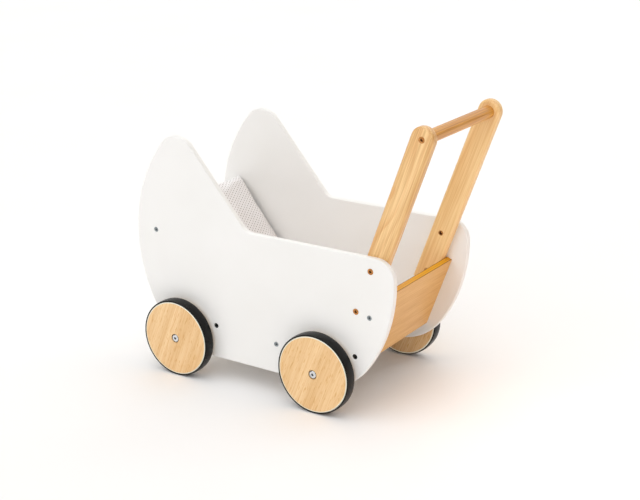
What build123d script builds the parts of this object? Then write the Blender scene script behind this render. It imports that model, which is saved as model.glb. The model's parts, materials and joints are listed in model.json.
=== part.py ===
"""Wooden doll stroller: two shaped side panels, three boards between them, a handle and four rubber-tyred wheels.

Frame: +Z up, wheels standing on Z = 0, +X towards the handle, Y = 0 the plane of symmetry.
The hood end is the front, so the left side is -Y. All sizes are in millimetres.
"""

import os
from math import cos, radians, sin, tan

from build123d import *

# ---------------------------------------------------------------- driving dimensions
INNER_WIDTH = 205.0          # clear width between the side panels
PANEL_T = 9.0                # side panels and white boards
LENGTH = 501.0               # hood end to the back of the handle

# side panel outline, seen from the side
BODY_R = 225.5               # the big circle that the panel is cut from
BODY_Z = 208.0               # height of its centre
PANEL_BOTTOM = 35.0
PANEL_TOP = 242.5            # straight rear edge, behind the hood
HOOD_SLOPE = 49.5            # degrees from level, the hood's sloping edge
VALLEY_X = -46.0             # where that edge would meet the straight one
VALLEY_R = 20.0
TIP_R = 34.0
REAR_CORNER_R = 31.0
LOWER_CORNER_R = 95.0
PANEL_EDGE_R = 2.0

# wheels and axles
WHEEL_R = 60.0
WHEEL_W = 18.0
TYRE_T = 2.4                 # rubber round the rim
WHEELBASE = 249.5
WHEELS_FORWARD = 17.6        # middle of the wheelbase, ahead of the big circle's centre
TRACK_OUTER = 270.0          # over the faces of the wheels
AXLE_R = 4.0
AXLE_HOLE_R = 4.1
BUSH_R = 6.5
RUNNING = 0.05               # radial clearance of the bush on the axle
END_PLAY = 0.2               # gap at each end of a wheel's bush
HUB_RECESS_R = 6.9
HUB_RECESS_DEPTH = 4.0
DISC_BEVEL = 1.2
TREAD_CROWN = 0.8            # the tread's shoulders are this much smaller in radius
TYRE_SHOULDER_R = 1.0

# handle
ARM_LEAN = 20.3              # degrees from upright
ARM_W = 35.0
ARM_T = 13.5
ARM_EDGE_R = 4.0
BAR_R = 9.0
BAR_Z = 413.0
ARM_BELOW_BAR = 290.0        # from the bar's centre down to the arm's lower end
ARM_BOLT_DROPS = (203.0, 270.0)

# boards between the panels
HEAD_LEAN = 39.3             # degrees from upright, leaning forward
HEAD_LOW_SCREW_X = -106.0
HEAD_LOW_SCREW_Z = 86.0
HEAD_SCREW_GAP = 171.5
HEAD_MARGIN = 25.0           # board beyond each screw
FLOOR_Z = 80.5               # middle of the floor board
FLOOR_SCREWS_X = (3.5, 106.0)
BACK_T = 9.5
BACK_TOP_DROP = 239.0        # from the bar's centre, along the arms
BACK_LENGTH = 118.0
BACK_SCREW_DROPS = (267.0, 334.0)
BOARD_EDGE_R = 0.8

# bedding
HEAD_PAD_T = 23.0
MATTRESS_T = 15.5
PAD_GAP = 0.3                # clear of the boards under it
PAD_SIDE_GAP = 0.5
PAD_EDGE_R = 4.0
HEAD_PAD_ABOVE_SCREW = 27.0
MATTRESS_REAR_GAP = 4.0

# fasteners
SCREW_R = 2.0
SCREW_HEAD_R = 3.8
SCREW_LENGTH = 35.0
SCREW_SUNK = 0.5
HOLE_CLEAR = 0.1
PILOT_BEYOND = 1.0           # how much deeper a pilot hole is than its screw
BOLT_R = 2.5
BOLT_HEAD_R = 4.5
ARM_BOLT_LENGTH = 20.0
BAR_SCREW_LENGTH = 45.0
INSERT_R = 4.0
INSERT_LENGTH = 11.5
HEX_KEY_R = 2.3              # to the corners of the key
CROSS_SPAN = 4.4
CROSS_WIDTH = 1.0
RECESS_DEPTH = 1.8
WHEEL_BOLT_HEAD_R = 6.0
WHEEL_BOLT_HEAD_H = 2.6
WHEEL_BOLT_CROWN_R = 1.6
WHEEL_BOLT_SHANK_R = 2.5
WHEEL_BOLT_SHANK = 14.0
WASHER_R = 6.4
WASHER_T = 1.0
SPACER_R = 8.0

# ---------------------------------------------------------------- worked out from them
PANEL_IN = INNER_WIDTH / 2
PANEL_OUT = PANEL_IN + PANEL_T
BODY_X = BODY_R - LENGTH / 2
AXLE_Z = WHEEL_R
WHEELS_MID_X = BODY_X - WHEELS_FORWARD
FRONT_AXLE_X = WHEELS_MID_X - WHEELBASE / 2
REAR_AXLE_X = WHEELS_MID_X + WHEELBASE / 2
WHEEL_OUT = TRACK_OUTER / 2
WHEEL_IN = WHEEL_OUT - WHEEL_W
DISC_R = WHEEL_R - TYRE_T
BUSH_IN = WHEEL_IN - END_PLAY
BUSH_OUT = WHEEL_OUT - HUB_RECESS_DEPTH
AXLE_END = BUSH_OUT + END_PLAY
SPACER_OUT = BUSH_IN - END_PLAY
BAR_X = LENGTH / 2 - ARM_W / 2

# directions in the side view: up along the arms, and square out of the back board
ARM_UP = Vector(sin(radians(ARM_LEAN)), 0, cos(radians(ARM_LEAN)))
ARM_OUT = Vector(cos(radians(ARM_LEAN)), 0, -sin(radians(ARM_LEAN)))
BAR_CENTRE = Vector(BAR_X, 0, BAR_Z)
# the same for the head board: up along it, and square out of it into the cabin
HEAD_UP = Vector(-sin(radians(HEAD_LEAN)), 0, cos(radians(HEAD_LEAN)))
HEAD_IN = Vector(cos(radians(HEAD_LEAN)), 0, sin(radians(HEAD_LEAN)))
HEAD_FOOT = Vector(HEAD_LOW_SCREW_X, 0, HEAD_LOW_SCREW_Z)

FLOOR_TOP = FLOOR_Z + PANEL_T / 2
FLOOR_BOTTOM = FLOOR_Z - PANEL_T / 2


def head_point(up, out):
    """Point on the head board's section: up along it from its lower screw, out from its middle."""
    return HEAD_FOOT + HEAD_UP * up + HEAD_IN * out


def arm_point(drop, out):
    """Point on the handle's section: down along an arm from the bar, out from the arm's middle."""
    return BAR_CENTRE - ARM_UP * drop + ARM_OUT * out


def head_front_x(z, out=PANEL_T / 2):
    """X of the plane that lies `out` in front of the head board's middle, at height z."""
    foot = head_point(0, out)
    return foot.X - (z - foot.Z) * tan(radians(HEAD_LEAN))


def back_inner_x(z):
    """X of the back board's inner face at height z."""
    top = arm_point(0, ARM_W / 2)
    return top.X - (top.Z - z) * tan(radians(ARM_LEAN))


HEAD_SCREWS = [head_point(0, 0), head_point(HEAD_SCREW_GAP, 0)]
FLOOR_SCREWS = [Vector(x, 0, FLOOR_Z) for x in FLOOR_SCREWS_X]
BACK_SCREWS = [arm_point(drop, ARM_W / 2 + BACK_T / 2) for drop in BACK_SCREW_DROPS]
ARM_BOLTS = [arm_point(drop, 0) for drop in ARM_BOLT_DROPS]
SIDES = {"left": -1, "right": 1}
AXLES = {"front": FRONT_AXLE_X, "rear": REAR_AXLE_X}

os.makedirs("parts", exist_ok=True)


def save(builder, name):
    """Label a finished piece and write it under its own name."""
    builder.part.label = name
    export_step(builder.part, f"parts/{name}.step")


def outward(point, y, side):
    """Plane square to Y through the point at |Y| = y, facing away from the middle of the stroller."""
    return Plane(origin=(point.X, side * y, point.Z), x_dir=(1, 0, 0), z_dir=(0, side, 0))


# ---------------------------------------------------------------- side panels
def side_panel(side):
    """One panel: the big circle with a flat foot, cut back behind the hood, its corners all rounded."""
    # a plane facing -Y keeps sketch x = X and sketch y = Z
    face_y = -PANEL_OUT if side < 0 else PANEL_IN
    notch_x = VALLEY_X - BODY_R / tan(radians(HOOD_SLOPE))
    with BuildPart() as panel:
        with BuildSketch(Plane.XZ.offset(-face_y)) as outline:
            with Locations((BODY_X, BODY_Z)):
                Circle(BODY_R)
            with Locations((BODY_X, PANEL_BOTTOM)):
                Rectangle(2 * BODY_R, PANEL_BOTTOM + BODY_R, align=(Align.CENTER, Align.MAX), mode=Mode.SUBTRACT)
            with BuildLine():
                Polyline(
                    (VALLEY_X, PANEL_TOP),
                    (LENGTH, PANEL_TOP),
                    (LENGTH, PANEL_TOP + BODY_R),
                    (notch_x, PANEL_TOP + BODY_R),
                    close=True,
                )
            make_face(mode=Mode.SUBTRACT)
            fillet(outline.vertices().group_by(Axis.Y)[0], LOWER_CORNER_R)
            fillet(outline.vertices().sort_by(Axis.X)[-1], REAR_CORNER_R)
            fillet(outline.vertices().sort_by(Axis.Y)[-1], TIP_R)
            fillet(outline.vertices().sort_by_distance((VALLEY_X, PANEL_TOP))[0], VALLEY_R)
        extrude(amount=-PANEL_T)
        fillet(panel.faces().filter_by(Axis.Y).edges(), PANEL_EDGE_R)
        for point in HEAD_SCREWS + FLOOR_SCREWS + BACK_SCREWS:
            with Locations(outward(point, PANEL_OUT, side)):
                CounterSinkHole(
                    radius=SCREW_R + HOLE_CLEAR,
                    counter_sink_radius=SCREW_HEAD_R + SCREW_SUNK + HOLE_CLEAR,
                    depth=PANEL_T,
                    counter_sink_angle=90,
                )
        for point in ARM_BOLTS:
            with Locations(outward(point, PANEL_OUT, side)):
                CounterSinkHole(
                    radius=BOLT_R + HOLE_CLEAR,
                    counter_sink_radius=BOLT_HEAD_R + SCREW_SUNK + HOLE_CLEAR,
                    depth=PANEL_T,
                    counter_sink_angle=90,
                )
        for axle_x in AXLES.values():
            with Locations(outward(Vector(axle_x, 0, AXLE_Z), PANEL_OUT, side)):
                Hole(AXLE_HOLE_R, depth=PANEL_T)
    return panel


for side_name, side in SIDES.items():
    save(side_panel(side), f"{side_name}_side_panel")


# ---------------------------------------------------------------- boards
def save_board(name, middle, length, thickness, screws):
    """A board between the panels: `middle` is its middle plane, with sketch x along its length."""
    with BuildPart() as board:
        with BuildSketch(middle):
            Rectangle(length, INNER_WIDTH)
        extrude(amount=thickness / 2, both=True)
        fillet(board.edges().filter_by(Axis.Y), BOARD_EDGE_R)
        drill_ends(screws)
    save(board, name)


def drill_ends(screws):
    """Pilot holes into both ends of the board that is being built."""
    for side in SIDES.values():
        for point in screws:
            with Locations(outward(point, PANEL_IN, side)):
                Hole(SCREW_R + HOLE_CLEAR / 2, depth=SCREW_LENGTH + SCREW_SUNK - PANEL_T + PILOT_BEYOND)


head_middle = Plane(origin=head_point(HEAD_SCREW_GAP / 2, 0), x_dir=HEAD_UP, z_dir=HEAD_IN)
save_board("head_board", head_middle, HEAD_SCREW_GAP + 2 * HEAD_MARGIN, PANEL_T, HEAD_SCREWS)

back_middle = Plane(
    origin=arm_point(BACK_TOP_DROP + BACK_LENGTH / 2, ARM_W / 2 + BACK_T / 2),
    x_dir=ARM_UP,
    z_dir=ARM_OUT,
)
save_board("back_board", back_middle, BACK_LENGTH, BACK_T, BACK_SCREWS)

# the floor's ends are bevelled to lie flat against the two leaning boards
with BuildPart() as floor_board:
    with BuildSketch(Plane.XZ):
        with BuildLine():
            Polyline(
                (head_front_x(FLOOR_BOTTOM), FLOOR_BOTTOM),
                (back_inner_x(FLOOR_BOTTOM), FLOOR_BOTTOM),
                (back_inner_x(FLOOR_TOP), FLOOR_TOP),
                (head_front_x(FLOOR_TOP), FLOOR_TOP),
                close=True,
            )
        make_face()
    extrude(amount=INNER_WIDTH / 2, both=True)
    drill_ends(FLOOR_SCREWS)
save(floor_board, "floor_board")


# ---------------------------------------------------------------- handle
def handle_arm(side):
    """A flat bar with a round upper end, lying against the inner face of its panel."""
    outer = Plane(origin=(BAR_X, side * PANEL_IN, BAR_Z), x_dir=ARM_UP, z_dir=(0, side, 0))
    with BuildPart() as arm:
        with BuildSketch(outer):
            Circle(ARM_W / 2)
            Rectangle(ARM_BELOW_BAR, ARM_W, align=(Align.MAX, Align.CENTER))
        extrude(amount=-ARM_T)
        fillet(arm.faces().filter_by(Axis.Y).edges(), ARM_EDGE_R)
        with Locations(outward(BAR_CENTRE, PANEL_IN, side)):
            CounterSinkHole(
                radius=BOLT_R + HOLE_CLEAR,
                counter_sink_radius=BOLT_HEAD_R + SCREW_SUNK + HOLE_CLEAR,
                depth=ARM_T,
                counter_sink_angle=90,
            )
        for point in ARM_BOLTS:
            with Locations(outward(point, PANEL_IN, side)):
                Hole(INSERT_R, depth=ARM_T)
    return arm


for side_name, side in SIDES.items():
    save(handle_arm(side), f"{side_name}_handle_arm")

with BuildPart() as push_bar:
    with BuildSketch(Plane(origin=BAR_CENTRE, x_dir=(1, 0, 0), z_dir=(0, 1, 0))):
        Circle(BAR_R)
    extrude(amount=PANEL_IN - ARM_T, both=True)
    for side in SIDES.values():
        with Locations(outward(BAR_CENTRE, PANEL_IN - ARM_T, side)):
            Hole(BOLT_R + HOLE_CLEAR / 2, depth=BAR_SCREW_LENGTH + SCREW_SUNK - ARM_T + PILOT_BEYOND)
save(push_bar, "push_bar")


# ---------------------------------------------------------------- axles
for axle_name, axle_x in AXLES.items():
    axle_middle = Plane(origin=(axle_x, 0, AXLE_Z), x_dir=(1, 0, 0), z_dir=(0, 1, 0))
    with BuildPart() as axle:
        with BuildSketch(axle_middle):
            Circle(AXLE_R)
        extrude(amount=AXLE_END, both=True)
        for side in SIDES.values():
            with Locations(outward(Vector(axle_x, 0, AXLE_Z), AXLE_END, side)):
                Hole(WHEEL_BOLT_SHANK_R + HOLE_CLEAR / 2, depth=WHEEL_BOLT_SHANK + PILOT_BEYOND)
    save(axle, f"{axle_name}_axle")


# ---------------------------------------------------------------- wheels
def wheel_disc(hub, side):
    """Turned wooden disc, bored for its bush, with a recess for the bolt and a bevel round its outer face."""
    with BuildPart() as disc:
        with BuildSketch(hub):
            Circle(DISC_R)
            Circle(BUSH_R, mode=Mode.SUBTRACT)
        extrude(amount=-WHEEL_W)
        faces = disc.faces().filter_by(Axis.Y).sort_by(Axis.Y)
        outer_face = faces[-1] if side > 0 else faces[0]
        chamfer(outer_face.outer_wire().edges(), DISC_BEVEL)
        with BuildSketch(hub):
            Circle(HUB_RECESS_R)
        extrude(amount=-HUB_RECESS_DEPTH, mode=Mode.SUBTRACT)
    return disc


def tyre(axle_x, side):
    """Rubber band round the disc: its section, with a crowned tread, turned about the axle."""
    inner, outer = side * WHEEL_IN, side * WHEEL_OUT
    shoulder_r = WHEEL_R - TREAD_CROWN
    with BuildPart() as band:
        with BuildSketch(Plane(origin=(axle_x, 0, AXLE_Z), x_dir=(0, 1, 0), z_dir=(1, 0, 0))) as section:
            with BuildLine():
                Polyline((inner, shoulder_r), (inner, DISC_R), (outer, DISC_R), (outer, shoulder_r))
                ThreePointArc((outer, shoulder_r), ((inner + outer) / 2, WHEEL_R), (inner, shoulder_r))
            make_face()
            fillet(section.vertices().group_by(Axis.Y)[-1], TYRE_SHOULDER_R)
        revolve(axis=Axis((axle_x, 0, AXLE_Z), (0, 1, 0)))
    return band


def ring(seat, length, outer_r, bore_r):
    """Plain ring that starts at the seat plane and runs outwards."""
    with BuildPart() as piece:
        with BuildSketch(seat):
            Circle(outer_r)
            Circle(bore_r, mode=Mode.SUBTRACT)
        extrude(amount=length)
    return piece


for axle_name, axle_x in AXLES.items():
    for side_name, side in SIDES.items():
        wheel = f"{axle_name}_{side_name}"
        centre = Vector(axle_x, 0, AXLE_Z)
        save(wheel_disc(outward(centre, WHEEL_OUT, side), side), f"{wheel}_wheel_disc")
        save(tyre(axle_x, side), f"{wheel}_tyre")
        bush = ring(outward(centre, BUSH_IN, side), BUSH_OUT - BUSH_IN, BUSH_R, AXLE_R + RUNNING)
        save(bush, f"{wheel}_bush")

WHEEL_SEATS = [(Vector(axle_x, 0, AXLE_Z), side) for axle_x in AXLES.values() for side in SIDES.values()]

with BuildPart() as wheel_spacers:
    for centre, side in WHEEL_SEATS:
        with BuildSketch(outward(centre, PANEL_OUT, side)):
            Circle(SPACER_R)
            Circle(AXLE_HOLE_R, mode=Mode.SUBTRACT)
        extrude(amount=SPACER_OUT - PANEL_OUT)
save(wheel_spacers, "wheel_spacers")

with BuildPart() as wheel_washers:
    for centre, side in WHEEL_SEATS:
        with BuildSketch(outward(centre, AXLE_END, side)):
            Circle(WASHER_R)
            Circle(WHEEL_BOLT_SHANK_R + HOLE_CLEAR, mode=Mode.SUBTRACT)
        extrude(amount=WASHER_T)
save(wheel_washers, "wheel_washers")


# ---------------------------------------------------------------- fasteners
def hex_socket(top):
    """Socket for a hexagon key, sunk into the head of the screw that is being built."""
    with BuildSketch(top) as socket:
        RegularPolygon(radius=HEX_KEY_R, side_count=6)
    extrude(socket.sketch, amount=-RECESS_DEPTH, mode=Mode.SUBTRACT)


def cross_recess(top):
    """Cross-shaped driver recess, sunk into the head of the screw that is being built."""
    with BuildSketch(top) as cross:
        Rectangle(CROSS_SPAN, CROSS_WIDTH)
        Rectangle(CROSS_WIDTH, CROSS_SPAN)
    extrude(cross.sketch, amount=-RECESS_DEPTH, mode=Mode.SUBTRACT)


def ring_edges(group, level, radius):
    """The group's round edges of that radius whose centre is the plane's origin."""
    rings = group.edges().filter_by(GeomType.CIRCLE)
    return rings.filter_by(lambda e: abs(e.radius - radius) < 0.01 and (e.arc_center - level.origin).length < 0.01)


def countersunk_screw(group, top, head_r, shank_r, length):
    """Add one flat-headed screw to the open group: `top` is the plane of its head, facing out."""
    centred_below = (Align.CENTER, Align.CENTER, Align.MAX)
    with Locations(top):
        Cylinder(shank_r, length, align=centred_below)
        Cone(shank_r, head_r, head_r - shank_r, align=centred_below)
    chamfer(ring_edges(group, top.offset(-length), shank_r), shank_r / 2)


board_screws = {"head_board": HEAD_SCREWS, "floor_board": FLOOR_SCREWS, "back_board": BACK_SCREWS}
for board_name, points in board_screws.items():
    with BuildPart() as screws:
        for side in SIDES.values():
            for point in points:
                head_top = outward(point, PANEL_OUT - SCREW_SUNK, side)
                countersunk_screw(screws, head_top, SCREW_HEAD_R, SCREW_R, SCREW_LENGTH)
                cross_recess(head_top)
    save(screws, f"{board_name}_screws")

with BuildPart() as arm_bolts:
    for side in SIDES.values():
        for point in ARM_BOLTS:
            head_top = outward(point, PANEL_OUT - SCREW_SUNK, side)
            countersunk_screw(arm_bolts, head_top, BOLT_HEAD_R, BOLT_R, ARM_BOLT_LENGTH)
            hex_socket(head_top)
save(arm_bolts, "arm_bolts")

with BuildPart() as arm_inserts:
    for side in SIDES.values():
        for point in ARM_BOLTS:
            with BuildSketch(outward(point, PANEL_IN - ARM_T, side)):
                Circle(INSERT_R)
                Circle(BOLT_R + HOLE_CLEAR / 2, mode=Mode.SUBTRACT)
            extrude(amount=INSERT_LENGTH)
save(arm_inserts, "arm_inserts")

with BuildPart() as push_bar_screws:
    for side in SIDES.values():
        head_top = outward(BAR_CENTRE, PANEL_IN - SCREW_SUNK, side)
        countersunk_screw(push_bar_screws, head_top, BOLT_HEAD_R, BOLT_R, BAR_SCREW_LENGTH)
        hex_socket(head_top)
save(push_bar_screws, "push_bar_screws")

with BuildPart() as wheel_bolts:
    for centre, side in WHEEL_SEATS:
        with BuildSketch(outward(centre, AXLE_END - WHEEL_BOLT_SHANK, side)):
            Circle(WHEEL_BOLT_SHANK_R)
        extrude(amount=WHEEL_BOLT_SHANK + WASHER_T)
        head_seat = outward(centre, AXLE_END + WASHER_T, side)
        with BuildSketch(head_seat):
            Circle(WHEEL_BOLT_HEAD_R)
        extrude(amount=WHEEL_BOLT_HEAD_H)
        head_top = head_seat.offset(WHEEL_BOLT_HEAD_H)
        fillet(ring_edges(wheel_bolts, head_top, WHEEL_BOLT_HEAD_R), WHEEL_BOLT_CROWN_R)
        hex_socket(head_top)
save(wheel_bolts, "wheel_bolts")


# ---------------------------------------------------------------- bedding
def pad(lower_face, length, thickness):
    """Plain padded slab that lies on a plane, with its edges rounded."""
    with BuildPart() as slab:
        with BuildSketch(lower_face):
            Rectangle(length, INNER_WIDTH - 2 * PAD_SIDE_GAP)
        extrude(amount=thickness)
        fillet(slab.edges(), PAD_EDGE_R)
    return slab


PAD_BACK = PANEL_T / 2 + PAD_GAP
PAD_REST_Z = FLOOR_TOP + PAD_GAP
head_pad_low = (PAD_REST_Z - head_point(0, PAD_BACK).Z) / HEAD_UP.Z
head_pad_high = HEAD_SCREW_GAP + HEAD_PAD_ABOVE_SCREW
head_pad_back = Plane(origin=head_point((head_pad_low + head_pad_high) / 2, PAD_BACK), x_dir=HEAD_UP, z_dir=HEAD_IN)
save(pad(head_pad_back, head_pad_high - head_pad_low, HEAD_PAD_T), "head_pad")

mattress_front = head_front_x(PAD_REST_Z, PAD_BACK + HEAD_PAD_T) + PAD_GAP
mattress_rear = back_inner_x(PAD_REST_Z) - MATTRESS_REAR_GAP
mattress_under = Plane(origin=((mattress_front + mattress_rear) / 2, 0, PAD_REST_Z), x_dir=(1, 0, 0), z_dir=(0, 0, 1))
save(pad(mattress_under, mattress_rear - mattress_front, MATTRESS_T), "mattress")
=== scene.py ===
# %% [markdown]
# # A wooden doll stroller
# The stroller is two lacquered side panels cut from a big circle, three boards between them,
# a pine handle, and four beech wheels with rubber tyres. All of that is rigid and comes ready made
# as the frame. What is added here is what makes it look real: the finish of every material,
# and the two soft pads that lie inside. Every length is in metres.

# %% Load the frame
import json
import math

import bpy
import numpy as np
from mathutils import Matrix, Vector


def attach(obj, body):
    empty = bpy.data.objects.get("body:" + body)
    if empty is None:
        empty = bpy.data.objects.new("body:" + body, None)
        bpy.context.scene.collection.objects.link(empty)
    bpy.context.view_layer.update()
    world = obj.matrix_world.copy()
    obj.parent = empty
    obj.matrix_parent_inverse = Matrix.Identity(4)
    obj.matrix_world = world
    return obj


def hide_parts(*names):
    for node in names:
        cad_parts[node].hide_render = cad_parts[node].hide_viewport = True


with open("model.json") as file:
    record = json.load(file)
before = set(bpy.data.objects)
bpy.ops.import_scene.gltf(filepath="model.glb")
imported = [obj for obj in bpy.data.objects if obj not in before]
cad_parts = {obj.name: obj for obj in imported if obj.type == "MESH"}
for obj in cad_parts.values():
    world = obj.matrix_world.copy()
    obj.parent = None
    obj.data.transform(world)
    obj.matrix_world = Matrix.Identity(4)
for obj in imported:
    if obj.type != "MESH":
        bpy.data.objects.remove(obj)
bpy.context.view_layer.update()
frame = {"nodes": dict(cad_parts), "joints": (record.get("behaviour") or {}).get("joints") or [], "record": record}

MM = 0.001
NODES = frame["nodes"]

# %% [markdown]
# ## Directions
# The handle arms and the back board lean by the same angle, and the head board leans the other way.
# The frame already knows both: the flat face on the back board has an axis square to it, and the bedding
# slides out along the head board. Reading them here keeps every grain and every pad in line with the wood.

# %% Directions of the leaning boards
back_face = frame["record"]["mounts"][0]
BACK_OUT = Vector(back_face["axis"])
BACK_FACE_DEPTH = BACK_OUT.dot(Vector(back_face["pos_m"]))
HANDLE_LEAN = math.atan2(-BACK_OUT.z, BACK_OUT.x)
bedding_slide = next(joint for joint in frame["joints"] if joint["name"] == "bedding_lift_out")
HEAD_UP = Vector(bedding_slide["axis"]).normalized()
print("handle leans", round(math.degrees(HANDLE_LEAN), 2), "degrees; head board runs along", tuple(HEAD_UP))

# %% [markdown]
# ## Camera
# The stroller is seen from its handle end and a little above, with a long lens from almost two metres,
# so its upright lines stay nearly parallel. The camera is placed by where it looks, from which side,
# how high and how far, because those are the numbers that a person would change.

# %% Camera
CAMERA_TARGET = Vector((0.0075, 0.0, 0.1938))
CAMERA_AZIMUTH = math.radians(33.54)
CAMERA_ELEVATION = math.radians(18.83)
CAMERA_ROLL = math.radians(-0.5)
CAMERA_DISTANCE = 1.9319
CAMERA_LENS = 72.88      # mm
SENSOR_WIDTH = 36.0      # mm


def add_camera():
    """A camera whose back points along (sin az cos el, -cos az cos el, sin el), rolled about that line."""
    back = Vector((
        math.sin(CAMERA_AZIMUTH) * math.cos(CAMERA_ELEVATION),
        -math.cos(CAMERA_AZIMUTH) * math.cos(CAMERA_ELEVATION),
        math.sin(CAMERA_ELEVATION),
    ))
    camera = bpy.data.objects.new("camera", bpy.data.cameras.new("camera"))
    camera.data.sensor_width = SENSOR_WIDTH
    camera.data.lens = CAMERA_LENS
    level = (-back).to_track_quat("-Z", "Y").to_matrix()
    turned = level @ Matrix.Rotation(CAMERA_ROLL, 3, "Z")
    camera.matrix_world = Matrix.Translation(CAMERA_TARGET + back * CAMERA_DISTANCE) @ turned.to_4x4()
    bpy.context.scene.collection.objects.link(camera)
    bpy.context.scene.camera = camera
    return camera


print("camera at", tuple(add_camera().matrix_world.translation))

# %% [markdown]
# ## Shader helpers
# Colours are easiest to choose as the hex values that a colour picker shows, which are in sRGB,
# but shaders count in linear light, so one function turns them over. A second small function adds
# a node with its settings and links in one call, so that a material reads from top to bottom.

# %% Colours and nodes
def linear(colour):
    """An sRGB colour such as "#f0c38a" as the linear red, green, blue and alpha that shaders want."""
    parts = np.array([int(colour[i:i + 2], 16) for i in (1, 3, 5)]) / 255
    light = np.where(parts <= 0.04045, parts / 12.92, ((parts + 0.055) / 1.055) ** 2.4)
    return (*light.tolist(), 1.0)


def add(tree, kind, inputs=None, stops=(), **settings):
    """Add one shader node. `inputs` maps an input's name or number to a value or to another node's output.

    `stops` are for a colour ramp: (position, colour) pairs, where a colour is a hex value or a level of grey.
    """
    node = tree.nodes.new(kind)
    for name, value in settings.items():
        setattr(node, name, value)
    for name, value in (inputs or {}).items():
        if isinstance(value, bpy.types.NodeSocket):
            tree.links.new(value, node.inputs[name])
        else:
            node.inputs[name].default_value = value
    for number, (position, colour) in enumerate(stops):
        if number == len(node.color_ramp.elements):
            node.color_ramp.elements.new(1.0)
        element = node.color_ramp.elements[number]
        element.position = position
        element.color = linear(colour) if isinstance(colour, str) else (colour, colour, colour, 1.0)
    return node


def new_material(name, **values):
    """An empty node material: its tree and its principled shader, with plain values set on the shader."""
    material = bpy.data.materials.new(name)
    material.use_nodes = True
    tree = material.node_tree
    tree.nodes.clear()
    shader = add(tree, "ShaderNodeBsdfPrincipled")
    add(tree, "ShaderNodeOutputMaterial", {"Surface": shader.outputs["BSDF"]})
    for socket, value in values.items():
        shader.inputs[socket.replace("_", " ")].default_value = value
    return material, tree, shader


def finish_nodes(material, *names):
    """Give the named CAD pieces that material."""
    for name in names:
        mesh = NODES[name].data
        mesh.materials.clear()
        mesh.materials.append(material)
    print(material.name, "on", len(names), "pieces")


print("the middle grey #808080 is", round(linear("#808080")[0], 3), "in linear light")

# %% [markdown]
# ## Room and light
# A white sweep of floor in an even studio. A wide soft light stands high in front and another high behind,
# and between them they light the floor to plain white and leave a soft shadow under the stroller.
# A small warm card low on the handle side throws some of its colour into that shadow.
# Each big lamp is a sun with a wide angle, so it is as soft as a large screen but the same everywhere.
# The plain view transform keeps the white of the lacquer white.

# %% Floor
FLOOR_SIZE = 80.0
MOTTLE_SIZE = 250 * MM
TOOTH_SIZE = 2 * MM


def add_floor():
    """One wide level square of white paper, mottled a little and with a faint tooth."""
    half = FLOOR_SIZE / 2
    corners = np.array([(-half, -half, 0.0), (half, -half, 0.0), (half, half, 0.0), (-half, half, 0.0)])
    mesh = bpy.data.meshes.new("studio_floor")
    mesh.from_pydata(corners.tolist(), [], [(0, 1, 2, 3)])
    floor = bpy.data.objects.new("studio_floor", mesh)
    bpy.context.scene.collection.objects.link(floor)
    material, tree, shader = new_material("white_paper_sweep", Roughness=0.9)
    place = add(tree, "ShaderNodeTexCoord").outputs["Object"]
    mottle = add(tree, "ShaderNodeTexNoise", {"Vector": place, "Scale": 1 / MOTTLE_SIZE, "Detail": 2.0})
    white = add(
        tree, "ShaderNodeValToRGB", {"Fac": mottle.outputs["Fac"]},
        stops=((0.3, "#faf9f8"), (0.7, "#fcfbfa")),
    )
    tooth = add(tree, "ShaderNodeTexNoise", {"Vector": place, "Scale": 1 / TOOTH_SIZE, "Detail": 2.0})
    height = tooth.outputs["Fac"]
    rough = add(tree, "ShaderNodeBump", {"Height": height, "Strength": 0.05, "Distance": 0.1 * MM})
    tree.links.new(white.outputs["Color"], shader.inputs["Base Color"])
    tree.links.new(rough.outputs["Normal"], shader.inputs["Normal"])
    mesh.materials.append(material)
    print("floor", FLOOR_SIZE, "m wide")


add_floor()

# %% Lights
SOFTNESS = math.radians(85)


def add_sun(name, come_from, strength, colour):
    """A soft sun that shines from that direction towards the stroller."""
    light = bpy.data.lights.new(name, "SUN")
    light.energy = strength
    light.angle = SOFTNESS
    light.color = linear(colour)[:3]
    lamp = bpy.data.objects.new(name, light)
    lamp.rotation_euler = Vector(come_from).to_track_quat("Z", "Y").to_euler()
    bpy.context.scene.collection.objects.link(lamp)


def add_card(name, place, target, size, power, colour):
    """A square of that size that glows towards its target."""
    light = bpy.data.lights.new(name, "AREA")
    light.size = size
    light.energy = power
    light.color = linear(colour)[:3]
    lamp = bpy.data.objects.new(name, light)
    lamp.location = place
    lamp.rotation_euler = (Vector(place) - Vector(target)).to_track_quat("Z", "Y").to_euler()
    bpy.context.scene.collection.objects.link(lamp)


def add_surroundings(strength, colour):
    """Dim walls all round, so that nothing reflects black."""
    world = bpy.data.worlds.new("studio")
    bpy.context.scene.world = world
    world.use_nodes = True
    background = world.node_tree.nodes["Background"]
    background.inputs["Color"].default_value = linear(colour)
    background.inputs["Strength"].default_value = strength


add_surroundings(strength=0.2, colour="#fff1e4")
add_sun("front_high", come_from=(-0.1, -1.0, 1.25), strength=2.2, colour="#f9fcff")
add_sun("back_high", come_from=(0.0, 1.0, 1.1), strength=1.6, colour="#fffefc")
add_card(
    "warm_card", place=(0.55, 0.05, 0.16), target=(0.12, 0.0, 0.0), size=0.25, power=0.2, colour="#ffb87c",
)
bpy.context.scene.view_settings.view_transform = "Standard"
print("lights", [light.name for light in bpy.data.lights])

# %% [markdown]
# ## White lacquered fibreboard
# The side panels, the floor and the head board are medium-density fibreboard, sprayed with satin white
# lacquer. Fibreboard has no grain, so what the eye gets is the lacquer: a faintly pebbled skin, called
# orange peel, and a gloss that is not quite even. Two noises give both, one of a couple of millimetres
# for the skin and one of a hand's width for the slow change of shade.

# %% White lacquer
PEEL_SIZE = 2.5 * MM
SHADE_SIZE = 120 * MM


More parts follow.
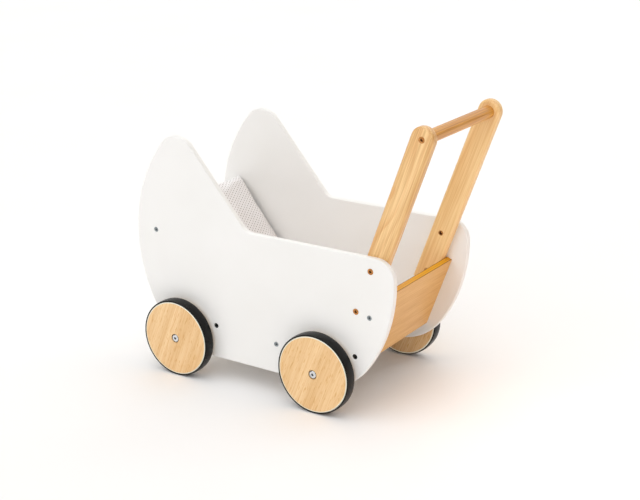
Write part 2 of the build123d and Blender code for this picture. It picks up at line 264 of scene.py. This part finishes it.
def white_lacquer():
    """Off-white that drifts by a shade, with orange peel as a very shallow bump."""
    material, tree, shader = new_material("satin_white_lacquered_fibreboard")
    place = add(tree, "ShaderNodeTexCoord").outputs["Object"]
    drift = add(tree, "ShaderNodeTexNoise", {"Vector": place, "Scale": 1 / SHADE_SIZE, "Detail": 2.0})
    peel = add(tree, "ShaderNodeTexNoise", {"Vector": place, "Scale": 1 / PEEL_SIZE, "Detail": 3.0})
    shade = add(
        tree, "ShaderNodeValToRGB", {"Fac": drift.outputs["Fac"]},
        stops=((0.3, "#f2f1ee"), (0.7, "#f6f5f3")),
    )
    gloss = add(tree, "ShaderNodeValToRGB", {"Fac": drift.outputs["Fac"]}, stops=((0.3, 0.30), (0.7, 0.40)))
    height = peel.outputs["Fac"]
    skin = add(tree, "ShaderNodeBump", {"Height": height, "Strength": 0.12, "Distance": 0.1 * MM})
    tree.links.new(shade.outputs["Color"], shader.inputs["Base Color"])
    tree.links.new(gloss.outputs["Color"], shader.inputs["Roughness"])
    tree.links.new(skin.outputs["Normal"], shader.inputs["Normal"])
    return material


finish_nodes(white_lacquer(), "left_side_panel", "right_side_panel", "floor_board", "head_board")

# %% [markdown]
# ## Wood
# Every wooden piece is cut from a trunk, so its figure is worked out the way a trunk grows: rings round
# a pith line, each ring pale in spring and darker in summer, with a sharp end. A board shows long lines or
# arches where its face cuts the rings, and the lines wander because trunks are never quite straight.
# The pattern lives in space and the piece is cut out of it, so its faces, edges and ends agree.

# %% Growth rings
WANDER_SPOT = (90 * MM, 260 * MM)       # a line wanders over this width and length before it turns back
WANDER_REACH = 30 * MM                  # how far it goes


def along_grain(tree, turn, pith):
    """Coordinates whose third axis runs along the grain, measured from the pith line."""
    place = add(tree, "ShaderNodeTexCoord").outputs["Object"]
    turned = add(tree, "ShaderNodeMapping", {"Vector": place, "Rotation": turn, "Location": pith})
    return turned.outputs["Vector"]


def stretched_noise(tree, grain, across, along, detail=2.0):
    """Noise whose spots are `across` wide and `along` long, measured along the grain."""
    scale = (1 / across, 1 / across, 1 / along)
    scaled = add(tree, "ShaderNodeMapping", {"Vector": grain, "Scale": scale}).outputs["Vector"]
    return add(tree, "ShaderNodeTexNoise", {"Vector": scaled, "Scale": 1.0, "Detail": detail})


def ring_figure(tree, grain, ring_width):
    """How far through its year each point is, 0 to 1: its wandering distance from the pith over the width."""
    drift = stretched_noise(tree, grain, *WANDER_SPOT).outputs["Color"]
    middle = (0.5, 0.5, 0.5)
    centred = add(tree, "ShaderNodeVectorMath", {0: drift, 1: middle}, operation="SUBTRACT").outputs[0]
    reach = (WANDER_REACH, WANDER_REACH, 0.0)
    pushed = add(tree, "ShaderNodeVectorMath", {0: centred, 1: reach}, operation="MULTIPLY").outputs[0]
    moved = add(tree, "ShaderNodeVectorMath", {0: grain, 1: pushed}, operation="ADD").outputs[0]
    flat = add(tree, "ShaderNodeVectorMath", {0: moved, 1: (1.0, 1.0, 0.0)}, operation="MULTIPLY").outputs[0]
    radius = add(tree, "ShaderNodeVectorMath", {0: flat}, operation="LENGTH").outputs["Value"]
    years = add(tree, "ShaderNodeMath", {0: radius, 1: 1 / ring_width}, operation="MULTIPLY").outputs[0]
    return add(tree, "ShaderNodeMath", {0: years}, operation="FRACT").outputs[0]


print("lines wander within a band", WANDER_REACH, "m wide")

# %% [markdown]
# ## Lacquered wood
# The ring figure gives the colour, from pale spring wood to deep summer wood. Over that lie a slow change
# of tone, fine fibres along the grain and, in beech, short dark flecks. Each is a noise drawn out along
# the grain, and each multiplies the colour, as thin stains do. The lacquer is a clear coat on top.

# %% Wood recipe
LINE_SPOT = (16 * MM, 180 * MM)         # a summer line stays strong over about this width and length
TONE_SPOT = (22 * MM, 240 * MM)
FIBRE_SPOT = (1.4 * MM, 70 * MM)        # coarser than real fibres, which would be too fine to see
FLECK_SPOT = (1.5 * MM, 11 * MM)


def wood(name, turn, pith, ring_width, pale, deep, ring_depth, fibres="#e2d3be", flecks=None):
    """Lacquered wood: spring-to-summer rings from pale to deep, a slow change of tone, fibres and flecks."""
    material, tree, shader = new_material(name, Coat_Weight=0.3, Coat_Roughness=0.18)
    grain = along_grain(tree, turn, pith)
    summer = add(
        tree, "ShaderNodeValToRGB", {"Fac": ring_figure(tree, grain, ring_width)},
        stops=((0.0, 0.12), (0.35, 0.0), (0.72, 0.55), (0.88, 1.0), (0.96, 0.85), (1.0, 0.12)),
    )
    patches = stretched_noise(tree, grain, *LINE_SPOT).outputs["Fac"]
    strength = add(tree, "ShaderNodeValToRGB", {"Fac": patches}, stops=((0.3, 0.25), (0.7, 1.0)))
    line = add(
        tree, "ShaderNodeMath", {0: summer.outputs["Color"], 1: strength.outputs["Color"]},
        operation="MULTIPLY",
    )
    amount = add(tree, "ShaderNodeMath", {0: line.outputs[0], 1: ring_depth}, operation="MULTIPLY")
    colour = add(
        tree, "ShaderNodeMix", {0: amount.outputs[0], 6: linear(pale), 7: linear(deep)}, data_type="RGBA",
    ).outputs[2]
    tone = stretched_noise(tree, grain, *TONE_SPOT).outputs["Fac"]
    fibre = stretched_noise(tree, grain, *FIBRE_SPOT, detail=4.0).outputs["Fac"]
    stains = [(tone, ((0.3, "#efe4d2"), (0.7, "#ffffff"))), (fibre, ((0.32, fibres), (0.62, "#ffffff")))]
    if flecks:
        fleck = stretched_noise(tree, grain, *FLECK_SPOT, detail=1.0).outputs["Fac"]
        stains.append((fleck, ((0.60, "#ffffff"), (0.72, flecks))))
    for spots, stops in stains:
        stain = add(tree, "ShaderNodeValToRGB", {"Fac": spots}, stops=stops).outputs["Color"]
        colour = add(
            tree, "ShaderNodeMix", {0: 1.0, 6: colour, 7: stain}, data_type="RGBA", blend_type="MULTIPLY",
        ).outputs[2]
    gloss = add(tree, "ShaderNodeValToRGB", {"Fac": fibre}, stops=((0.3, 0.46), (0.7, 0.36)))
    pores = add(tree, "ShaderNodeBump", {"Height": fibre, "Strength": 0.2, "Distance": 0.1 * MM})
    tree.links.new(colour, shader.inputs["Base Color"])
    tree.links.new(gloss.outputs["Color"], shader.inputs["Roughness"])
    tree.links.new(pores.outputs["Normal"], shader.inputs["Normal"])
    return material


print("fibres are", FIBRE_SPOT[0], "m wide")

# %% [markdown]
# ## Pine handle
# The two arms are flat-sawn pine, so their wide faces show long amber summer lines in pale spring wood.
# Each is cut from another part of the trunk: the left one close to the pith, with many lines,
# the right one further out, with broad quiet figure. The dowel between them has its grain along it.
# The lacquer over all of it gives the bright line along the top of the dowel.

# %% Pine on the arms and the push bar
ALONG_HANDLE = (0.0, -HANDLE_LEAN, 0.0)      # turns the arms' direction onto the third axis
ALONG_DOWEL = (math.pi / 2, 0.0, 0.0)
left_arm = wood(
    "lacquered_pine_left_arm", ALONG_HANDLE, pith=(-0.058, 0.130, 0.0), ring_width=5.2 * MM,
    pale="#fdd79c", deep="#de9442", ring_depth=0.7,
)
right_arm = wood(
    "lacquered_pine_right_arm", ALONG_HANDLE, pith=(-0.100, -0.020, 0.3), ring_width=13 * MM,
    pale="#ffdca2", deep="#eeaa5c", ring_depth=0.35, fibres="#f0e4d2",
)
dowel = wood(
    "lacquered_pine_dowel", ALONG_DOWEL, pith=(-0.226, 0.440, 0.2), ring_width=5 * MM,
    pale="#e6a53c", deep="#b57216", ring_depth=0.6,
)
finish_nodes(left_arm, "left_handle_arm")
finish_nodes(right_arm, "right_handle_arm")
finish_nodes(dowel, "push_bar")

# %% [markdown]
# ## Beech wheels
# The wheel discs are turned from flat boards of beech. Its rings hardly show, and what gives beech away is
# the many short brown flecks along the grain. The grain stands almost upright here, leaning a little.
# A thin paler ring is painted round the turned edge: a painted highlight where its rounded edge catches the light.

# %% Beech on the wheel discs
GRAIN_TILT = math.radians(22)
# the painted highlight on the discs' edge fades in between these two radii
RIM_FROM = 55.4 * MM         # radius where the face starts to pale
RIM_FULL = 55.9 * MM         # radius from which it is quite pale
RIM_HIGHLIGHT_COLOUR = "#fffae6"
WHEELS = [f"{end}_{side}" for end in ("front", "rear") for side in ("left", "right")]
hinges = [joint for joint in frame["record"]["behaviour"]["joints"] if joint["type"] == "hinge"]
AXLES = sorted({(joint["pos_m"][0], 0.0, joint["pos_m"][2]) for joint in hinges})


def paint_rim_highlight(material):
    """A painted highlight on the discs' rounded edge: lighter colour in a ring round the nearer axle."""
    tree = material.node_tree
    shader = next(node for node in tree.nodes if node.type == "BSDF_PRINCIPLED")
    figure = shader.inputs["Base Color"].links[0].from_socket
    place = add(tree, "ShaderNodeTexCoord").outputs["Object"]
    flat = add(tree, "ShaderNodeVectorMath", {0: place, 1: (1.0, 0.0, 1.0)}, operation="MULTIPLY").outputs[0]
    away = [add(tree, "ShaderNodeVectorMath", {0: flat, 1: axle}, operation="DISTANCE") for axle in AXLES]
    front, rear = (distance.outputs["Value"] for distance in away)
    nearer = add(tree, "ShaderNodeMath", {0: front, 1: rear}, operation="MINIMUM").outputs[0]
    ring = add(tree, "ShaderNodeMapRange", {"Value": nearer, "From Min": RIM_FROM, "From Max": RIM_FULL})
    pale = {0: ring.outputs[0], 6: figure, 7: linear(RIM_HIGHLIGHT_COLOUR)}
    tree.links.new(add(tree, "ShaderNodeMix", pale, data_type="RGBA").outputs[2], shader.inputs["Base Color"])


beech = wood(
    "lacquered_beech", (0.0, -GRAIN_TILT, 0.0), pith=(0.31, 0.02, 0.0), ring_width=9 * MM,
    pale="#fcdaa8", deep="#eebc7c", ring_depth=0.4, fibres="#f3e8d8", flecks="#efdfc2",
)
paint_rim_highlight(beech)
finish_nodes(beech, *[f"{wheel}_wheel_disc" for wheel in WHEELS])
print("axles at", AXLES)

# %% [markdown]
# ## Plywood back board
# The board under the handle is plywood, veneers glued crosswise. Its faces show the outer veneer, with the
# grain across the stroller. Its edges show the plies as stripes, so the colour there goes by depth below
# the outer face. The lacquer soaks into the open edge, which turns it amber, and the glue lines stay dark.

# %% Plywood
PLY_DEPTH = 9.5 * MM
ACROSS = (math.pi / 2, 0.0, 0.0)
VENEER_SPOT = (9 * MM, 120 * MM)
VENEER_FIBRE_SPOT = (0.9 * MM, 50 * MM)


def plywood():
    """Face veneer on the outside, and stripes that follow the depth below the outer face."""
    material, tree, shader = new_material("lacquered_birch_plywood", Coat_Weight=0.2, Coat_Roughness=0.25)
    grain = along_grain(tree, ACROSS, (0.0, 0.0, 0.0))
    band = stretched_noise(tree, grain, *VENEER_SPOT, detail=3.0).outputs["Fac"]
    face = add(tree, "ShaderNodeValToRGB", {"Fac": band}, stops=((0.3, "#e0aa58"), (0.7, "#ebba6c")))
    place = add(tree, "ShaderNodeTexCoord").outputs["Object"]
    reach = add(tree, "ShaderNodeVectorMath", {0: place, 1: tuple(BACK_OUT)}, operation="DOT_PRODUCT")
    below = add(tree, "ShaderNodeMath", {0: BACK_FACE_DEPTH, 1: reach.outputs["Value"]}, operation="SUBTRACT")
    depth = add(tree, "ShaderNodeMath", {0: below.outputs[0], 1: PLY_DEPTH}, operation="DIVIDE").outputs[0]
    plies = add(
        tree, "ShaderNodeValToRGB", {"Fac": depth},
        stops=(
            (0.10, "#3f2806"), (0.15, "#e39c00"), (0.40, "#efb000"), (0.44, "#c08600"),
            (0.50, "#efb000"), (0.84, "#e39c00"), (0.90, "#5c3c0c"),
        ),
    )
    edge = add(
        tree, "ShaderNodeValToRGB", {"Fac": depth},
        stops=((0.05, 0.0), (0.08, 1.0), (0.92, 1.0), (0.95, 0.0)),
    )
    layers = {0: edge.outputs["Color"], 6: face.outputs["Color"], 7: plies.outputs["Color"]}
    wooden = add(tree, "ShaderNodeMix", layers, data_type="RGBA").outputs[2]
    fibre = stretched_noise(tree, grain, *VENEER_FIBRE_SPOT, detail=4.0).outputs["Fac"]
    stain = add(tree, "ShaderNodeValToRGB", {"Fac": fibre}, stops=((0.32, "#efe4d3"), (0.62, "#ffffff")))
    stained = {0: 1.0, 6: wooden, 7: stain.outputs["Color"]}
    colour = add(tree, "ShaderNodeMix", stained, data_type="RGBA", blend_type="MULTIPLY").outputs[2]
    gloss = add(tree, "ShaderNodeValToRGB", {"Fac": fibre}, stops=((0.3, 0.52), (0.7, 0.42)))
    pores = add(tree, "ShaderNodeBump", {"Height": fibre, "Strength": 0.2, "Distance": 0.1 * MM})
    tree.links.new(colour, shader.inputs["Base Color"])
    tree.links.new(gloss.outputs["Color"], shader.inputs["Roughness"])
    tree.links.new(pores.outputs["Normal"], shader.inputs["Normal"])
    return material


finish_nodes(plywood(), "back_board")

# %% [markdown]
# ## Rubber tyres
# The tyres are moulded black rubber. New rubber isn't quite black: it has a thin grey bloom that comes and
# goes, and a skin just rough enough to blur what it reflects into one soft streak along the tread.

# %% Black rubber
BLOOM_SIZE = 14 * MM
SKIN_SIZE = 0.7 * MM


def rubber():
    """Near-black with a patchy bloom and a fine skin."""
    material, tree, shader = new_material("moulded_black_rubber", Specular_IOR_Level=0.2)
    place = add(tree, "ShaderNodeTexCoord").outputs["Object"]
    bloom = add(tree, "ShaderNodeTexNoise", {"Vector": place, "Scale": 1 / BLOOM_SIZE, "Detail": 4.0})
    patches = bloom.outputs["Fac"]
    shade = add(tree, "ShaderNodeValToRGB", {"Fac": patches}, stops=((0.35, "#050504"), (0.65, "#0b0a09")))
    gloss = add(tree, "ShaderNodeValToRGB", {"Fac": patches}, stops=((0.35, 0.26), (0.65, 0.36)))
    skin = add(tree, "ShaderNodeTexNoise", {"Vector": place, "Scale": 1 / SKIN_SIZE, "Detail": 2.0})
    height = skin.outputs["Fac"]
    bump = add(tree, "ShaderNodeBump", {"Height": height, "Strength": 0.3, "Distance": 0.05 * MM})
    tree.links.new(shade.outputs["Color"], shader.inputs["Base Color"])
    tree.links.new(gloss.outputs["Color"], shader.inputs["Roughness"])
    tree.links.new(bump.outputs["Normal"], shader.inputs["Normal"])
    return material


finish_nodes(rubber(), *[f"{wheel}_tyre" for wheel in WHEELS])

# %% [markdown]
# ## Plated steel
# The axles, washers and screws are steel with a bright zinc plate, which has a fine crystal mottle. The
# board screws are the same zinc with a darker colour, a painted dark reflection of the unlit surroundings.
# The bolts of the handle are bronze plated and then darkened. In all of them the colour is painted darker
# in the low spots, such as the sockets of the heads: painted shade, where an ambient occlusion node finds them.

# %% Plated steel
# RECESS: how close something must stand round a point for its colour to get painted shade
RECESS = 2 * MM          # a point counts as low if something stands this close around it
ZINC_PATCH = 1.6 * MM
BRONZE_PATCH = 2.2 * MM
DULLER = 0.08
GLOSSIER = 0.04


def plated(name, first, second, recess_shade, patch, rough):
    """Metal whose colour and roughness wander over patches of that size, with painted shade in recesses."""
    material, tree, shader = new_material(name, Metallic=1.0)
    place = add(tree, "ShaderNodeTexCoord").outputs["Object"]
    mottled = add(tree, "ShaderNodeTexNoise", {"Vector": place, "Scale": 1 / patch, "Detail": 4.0})
    mottle = mottled.outputs["Fac"]
    # painted shade: where the ambient occlusion finds close surroundings, the colour turns to the dark recess
    # colour
    open_sky = add(tree, "ShaderNodeAmbientOcclusion", {"Distance": RECESS}, samples=8).outputs["AO"]
    height = add(tree, "ShaderNodeValToRGB", {"Fac": open_sky}, stops=((0.5, 0.0), (0.9, 1.0)))
    worn = add(tree, "ShaderNodeValToRGB", {"Fac": mottle}, stops=((0.35, first), (0.65, second)))
    layers = {0: height.outputs["Color"], 6: linear(recess_shade), 7: worn.outputs["Color"]}
    colour = add(tree, "ShaderNodeMix", layers, data_type="RGBA").outputs[2]
    gloss = add(
        tree, "ShaderNodeValToRGB", {"Fac": mottle}, stops=((0.3, rough + DULLER), (0.7, rough - GLOSSIER)),
    )
    tree.links.new(colour, shader.inputs["Base Color"])
    tree.links.new(gloss.outputs["Color"], shader.inputs["Roughness"])
    return material


zinc = plated("bright_zinc_plated_steel", "#cdd0d4", "#e4e6e8", "#5c6166", ZINC_PATCH, rough=0.26)
# the board screws' zinc is painted darker: a painted reflection of dark surroundings
dark_reflection_zinc = plated("zinc_steel_painted_dark_reflection", "#7c868b", "#a3abae", "#1d2123", ZINC_PATCH, rough=0.24)
bronze = plated("antique_bronze_plated_steel", "#b0703a", "#d69a5e", "#1f0d05", BRONZE_PATCH, rough=0.34)
finish_nodes(zinc, "front_axle", "rear_axle", "wheel_washers", "wheel_bolts")
finish_nodes(dark_reflection_zinc, "head_board_screws", "floor_board_screws", "back_board_screws")
finish_nodes(bronze, "arm_bolts", "arm_inserts", "push_bar_screws")

# %% [markdown]
# ## Nylon
# The bushes and spacers are plain moulded nylon. It is milky and a little see-through, so light goes
# a short way in and comes out again beside where it went in, which subsurface scattering gives.

# %% Nylon
CLOUD_SIZE = 5 * MM
SCATTER_DEPTH = 1.5 * MM


def nylon():
    """Milky plastic with light scattered just under the skin."""
    material, tree, shader = new_material(
        "natural_nylon", Roughness=0.42, Subsurface_Weight=0.3, Subsurface_Scale=SCATTER_DEPTH,
    )
    place = add(tree, "ShaderNodeTexCoord").outputs["Object"]
    cloud = add(tree, "ShaderNodeTexNoise", {"Vector": place, "Scale": 1 / CLOUD_SIZE, "Detail": 2.0})
    milk = add(
        tree, "ShaderNodeValToRGB", {"Fac": cloud.outputs["Fac"]}, stops=((0.3, "#e2dfd5"), (0.7, "#ece9e1")),
    )
    tree.links.new(milk.outputs["Color"], shader.inputs["Base Color"])
    return material


finish_nodes(nylon(), "wheel_spacers", *[f"{wheel}_bush" for wheel in WHEELS])

# %% [markdown]
# ## Dotted cotton
# The bedding is white cotton printed with small grey dots, in rows that step half a pitch sideways.
# A print lies on the cloth, not in space, so it follows coordinates that are stored on the pad itself:
# how far along the cloth each point is. Dots in stepped rows are two plain grids, the second half a cell on,
# and the distance from the middle of the nearest cell says where the dot is. The weave is a finer grid.

# %% Dotted cotton
DOT_PITCH = 5.3 * MM
DOT_RADIUS = 1.0 * MM
THREAD = 0.6 * MM        # coarser than real thread, which would be too fine to see
TONE_SIZE = 30 * MM


def off_middle(tree, place, cell, shift=(0.0, 0.0)):
    """Distance in metres from the middle of the nearest cell of a grid with that cell size."""
    moved = add(tree, "ShaderNodeVectorMath", {0: place, 1: (*shift, 0.0)}, operation="ADD").outputs[0]
    counted = add(tree, "ShaderNodeVectorMath", {0: moved, 1: (*cell, 1.0)}, operation="DIVIDE").outputs[0]
    part = add(tree, "ShaderNodeVectorMath", {0: counted}, operation="FRACTION").outputs[0]
    middle = (0.5, 0.5, 0.0)
    centred = add(tree, "ShaderNodeVectorMath", {0: part, 1: middle}, operation="SUBTRACT").outputs[0]
    real = add(tree, "ShaderNodeVectorMath", {0: centred, 1: (*cell, 0.0)}, operation="MULTIPLY").outputs[0]
    return add(tree, "ShaderNodeVectorMath", {0: real}, operation="LENGTH").outputs["Value"]


def cotton():
    """White cloth, grey dots, a slow change of tone and the bump of the threads."""
    material, tree, shader = new_material(
        "printed_white_cotton", Roughness=0.85, Sheen_Weight=0.25, Sheen_Roughness=0.5,
    )
    place = add(tree, "ShaderNodeAttribute", attribute_name="cloth_place").outputs["Vector"]
    toned = add(tree, "ShaderNodeTexNoise", {"Vector": place, "Scale": 1 / TONE_SIZE, "Detail": 3.0})
    tone = toned.outputs["Fac"]
    plain = add(tree, "ShaderNodeValToRGB", {"Fac": tone}, stops=((0.3, "#f8f5f4"), (0.7, "#fdfbfb")))
    cell = (DOT_PITCH * math.sqrt(3), DOT_PITCH)
    first = off_middle(tree, place, cell)
    second = off_middle(tree, place, cell, shift=(cell[0] / 2, cell[1] / 2))
    nearest = add(tree, "ShaderNodeMath", {0: first, 1: second}, operation="MINIMUM").outputs[0]
    # the dot's edge is where the share is a half, and it is a little soft, as ink in cotton is
    share = add(tree, "ShaderNodeMath", {0: nearest, 1: 2 * DOT_RADIUS}, operation="DIVIDE").outputs[0]
    dot = add(tree, "ShaderNodeValToRGB", {"Fac": share}, stops=((0.44, 1.0), (0.56, 0.0))).outputs["Color"]
    print_on_cloth = {0: dot, 6: plain.outputs["Color"], 7: linear("#aea7a3")}
    colour = add(tree, "ShaderNodeMix", print_on_cloth, data_type="RGBA").outputs[2]
    thread = off_middle(tree, place, (THREAD, THREAD))
    height = add(tree, "ShaderNodeMath", {0: thread, 1: THREAD}, operation="DIVIDE").outputs[0]
    weave = add(tree, "ShaderNodeBump", {"Height": height, "Strength": 0.35, "Distance": 0.12 * MM})
    tree.links.new(colour, shader.inputs["Base Color"])
    tree.links.new(weave.outputs["Normal"], shader.inputs["Normal"])
    return material


COTTON = cotton()
print("made", COTTON.name)

# %% [markdown]
# ## Padded bedding
# The bedding is two pads: one leans on the head board under the hood, the other lies on the floor board.
# Each is two layers of cotton sewn together round the edge and stuffed. The start shape is that bag, not
# quite full: its thickness falls to nothing at the seam. Then a cloth simulation blows it up from inside,
# which is what makes the cloth tighten, pucker along the seam and bulge between. Limits stop it at the wood.

# %% Where a pad lies
def slab(node, along):
    """Middle, axes (across, along, out) and half sizes of a plain slab of the frame that runs that way."""
    points = np.empty(len(NODES[node].data.vertices) * 3)
    NODES[node].data.vertices.foreach_get("co", points)
    axes = np.array([(0.0, 1.0, 0.0), tuple(along), tuple(Vector((0.0, 1.0, 0.0)).cross(along))])
    local = points.reshape(-1, 3) @ axes.T
    low, high = local.min(axis=0), local.max(axis=0)
    return (low + high) / 2 @ axes, axes, (high - low) / 2


print("head pad half sizes in mm", (slab("head_pad", HEAD_UP)[2] / MM).round(1))

# %% [markdown]
# ## The bag before it is blown up
# The bag is a grid over the pad, with the sheet's height above the seam worked out for every grid point.
# Its points stand closer together near the seam, where the cloth turns most. The seam isn't straight:
# a few waves of different lengths, added up, draw it in and out as the stitches do.

# %% Bags
CELL = 4 * MM
CROWDING = 0.3          # how much closer together the grid's lines stand near the seam
FULLNESS = 24           # the higher this power, the nearer to the seam the bag is full
SEAM_WAVE = 0.35 * MM
SEAM_BAND = 12          # the higher this power, the narrower the band along the seam that puckers
WAVE_TURN = 9           # radians of the longest wave from the pad's middle to its side
WAVES = 3
SEAM_RISE = 0.5         # share of the half thickness: a bag on its back has its seam nearer the front


def crowded(count):
    """Numbers from -1 to 1 that stand closer together near the ends: even spacing blended with a sine."""
    even = np.linspace(-1, 1, count)
    return np.sin(even * np.pi / 2) * CROWDING + even * (1 - CROWDING)


def bag(half, seed):
    """Two sheets sewn at the rim, as a grid of (side, row, column).

    With s and t from -1 to 1 over the sheet, the height above or below the seam follows
    sqrt((1 - s^24) * (1 - t^24)), so the bag is full almost to its rim. The rim moves in and out
    by the seam's puckers, a sum of a few waves.
    """
    rows, columns = (2 * round(size / CELL) + 1 for size in (half[1], half[0]))
    t, s = np.meshgrid(crowded(rows), crowded(columns), indexing="ij")
    height = np.sqrt(np.clip((1 - s ** FULLNESS) * (1 - t ** FULLNESS), 0, 1)) * half[2]
    phases = np.random.default_rng(seed).uniform(0, 2 * np.pi, 2 * WAVES)
    ripple = sum(np.sin((s + t) * WAVE_TURN * (k + 1) + phases[k]) / (k + 1) for k in range(WAVES))
    ripple += sum(np.sin((s - t) * WAVE_TURN * (k + 1) + phases[k + WAVES]) / (k + 1) for k in range(WAVES))
    pull = 1 - SEAM_WAVE / half[0] * (1 + ripple / WAVES) * np.maximum(abs(s), abs(t)) ** SEAM_BAND
    place = np.stack([s * half[0] * pull, t * half[1] * pull, np.zeros_like(s)], axis=-1)
    front, back = place.copy(), place.copy()
    seam = SEAM_RISE * half[2]
    front[..., 2] = seam + height * (1 - SEAM_RISE)
    back[..., 2] = seam - height * (1 + SEAM_RISE)
    return np.stack([front, back])


print("grid of", bag(slab("head_pad", HEAD_UP)[2], 0).shape[1:3], "points on each side of the head pad")

# %% [markdown]
# ## Sewing
# The two sheets become one closed mesh when the back one uses the front one's points along the rim.
# Each point also stores how far along the cloth it is, which is what the printed dots follow.

# %% Sewn mesh
def sewn_mesh(name, grid):
    """A closed mesh from the two sheets: the back one borrows the front one's rim."""
    rows, columns = grid.shape[1:3]
    front = np.arange(rows * columns).reshape(rows, columns)
    back = front + rows * columns
    for rim in (np.s_[0, :], np.s_[-1, :], np.s_[:, 0], np.s_[:, -1]):
        back[rim] = front[rim]
    quads = [
        np.stack([sheet[:-1, :-1], sheet[:-1, 1:], sheet[1:, 1:], sheet[1:, :-1]], axis=-1).reshape(-1, 4)
        for sheet in (front, back)
    ]
    faces = np.concatenate([quads[0], quads[1][:, ::-1]])
    used, faces = np.unique(faces, return_inverse=True)
    points = grid.reshape(-1, 3)[used]
    mesh = bpy.data.meshes.new(name)
    mesh.from_pydata(points.tolist(), [], faces.reshape(-1, 4).tolist())
    across = np.cumsum(np.linalg.norm(np.diff(grid[0], axis=1, prepend=grid[0][:, :1]), axis=-1), axis=1)
    down = np.cumsum(np.linalg.norm(np.diff(grid[0], axis=0, prepend=grid[0][:1]), axis=-1), axis=0)
    cloth = np.stack([across, down, np.zeros_like(across)], axis=-1)
    both = np.stack([cloth, cloth]).reshape(-1, 3)[used]
    mesh.attributes.new("cloth_place", "FLOAT_VECTOR", "POINT").data.foreach_set("vector", both.ravel())
    return mesh, points


print("the cloth's squares are about", CELL, "m wide before they are rounded off")

# %% [markdown]
# ## Blowing the bags up
# The simulation has pressure inside and no gravity, and runs for twenty frames.

# %% Cloth simulation
PRESSURE = 4.0
TENSION = 25
BENDING = 0.3
LAST_FRAME = 20


def blow_up(piece):
    """The points of the piece after the cloth simulation."""
    cloth = piece.modifiers.new("cloth", "CLOTH")
    cloth.settings.use_pressure = True
    cloth.settings.uniform_pressure_force = PRESSURE
    cloth.settings.effector_weights.gravity = 0.0
    cloth.settings.tension_stiffness = TENSION
    cloth.settings.bending_stiffness = BENDING
    cloth.point_cache.frame_start = 1
    cloth.point_cache.frame_end = LAST_FRAME
    for frame_number in range(1, LAST_FRAME + 1):
        bpy.context.scene.frame_set(frame_number)
    blown = piece.evaluated_get(bpy.context.evaluated_depsgraph_get()).data
    points = np.empty(len(blown.vertices) * 3)
    blown.vertices.foreach_get("co", points)
    piece.modifiers.remove(cloth)
    bpy.context.scene.frame_set(1)
    return points.reshape(-1, 3)


print("cloth simulation:", f"{LAST_FRAME} frames")

# %% [markdown]
# ## Finished pads
# A point may move only as far as a limit, so the pad stays a pad, and never past the wood on its sides and
# back. In front the height is eased under its limit, because a plain cut there would leave a flat top.

# %% Place the pads
STUFFED = 0.9            # share of the slab's thickness that the bag has before it is blown up
MOVE_LIMIT = 5 * MM
SIDE_SLACK = 0.2 * MM    # how far a side may pass the slab's, towards the panel beside it
KNEE = 0.6
SMALLEST = 1e-9


def ease(height, limit):
    """Keep heights under the limit without a flat spot: past the knee, tanh squeezes the rest in."""
    knee = KNEE * limit
    room = limit - knee
    return np.where(height > knee, knee + room * np.tanh((height - knee) / room), height)


def pad(name, node, along, seed, swell, crown):
    """One stuffed pad in a plain slab's place, which may pass it by `swell` in front and `crown` on top."""
    middle, axes, half = slab(node, along)
    grid = bag(half * (1.0, 1.0, STUFFED) + (SIDE_SLACK, crown / 2, 0.0), seed)
    grid[..., 1] += crown / 2
    mesh, points = sewn_mesh(name, grid)
    piece = bpy.data.objects.new(name, mesh)
    bpy.context.scene.collection.objects.link(piece)
    move = blow_up(piece) - points
    far = np.linalg.norm(move, axis=1, keepdims=True)
    points = points + move * np.minimum(1.0, MOVE_LIMIT / np.maximum(far, SMALLEST))
    low = -half - (SIDE_SLACK, 0.0, 0.0)
    high = half + (SIDE_SLACK, crown, swell)
    points[:, 2] = ease(points[:, 2], high[2])
    points = np.clip(points, low, high)
    mesh.vertices.foreach_set("co", (points @ axes + middle).ravel())
    mesh.polygons.foreach_set("use_smooth", np.ones(len(mesh.polygons), dtype=bool))
    mesh.materials.append(COTTON)
    round_off = piece.modifiers.new("round_off", "SUBSURF")
    round_off.levels = round_off.render_levels = 1
    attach(piece, "bedding")
    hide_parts(node)
    print(name, "sizes in mm", (np.ptp(points, axis=0) / MM).round(1))


pad("head_pad_cover", "head_pad", HEAD_UP, 3, swell=3.5 * MM, crown=5.0 * MM)
pad("mattress_cover", "mattress", Vector((-1.0, 0.0, 0.0)), 8, swell=2.5 * MM, crown=0.0)
